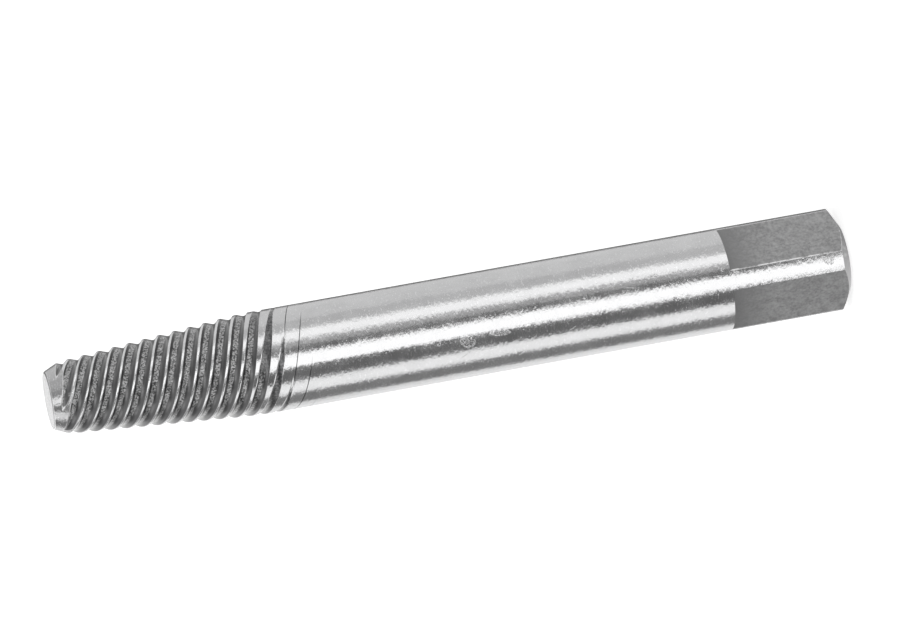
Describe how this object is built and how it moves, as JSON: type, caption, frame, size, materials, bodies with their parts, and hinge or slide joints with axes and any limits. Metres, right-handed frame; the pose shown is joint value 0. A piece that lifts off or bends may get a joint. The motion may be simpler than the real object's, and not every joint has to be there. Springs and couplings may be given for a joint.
{
  "type": "screw extractor",
  "caption": "Tapered left-hand spiral screw extractor in tool steel, with a plain round shank and a square drive end.",
  "frame": {"origin": "centre of the square end's face, on the tool's axis", "axes": "+Z along the axis from the square end to the tip of the spiral, X and Y square to the flats"},
  "size_m": [0.0108, 0.0108, 0.0862],
  "materials": {
    "tool_steel": "ground bright on the shank, lands, chamfers and tip face, dark and matt in the grooves and on the flats"
  },
  "bodies": {
    "root": {"extractor": "tool_steel"}
  },
  "joints": []
}
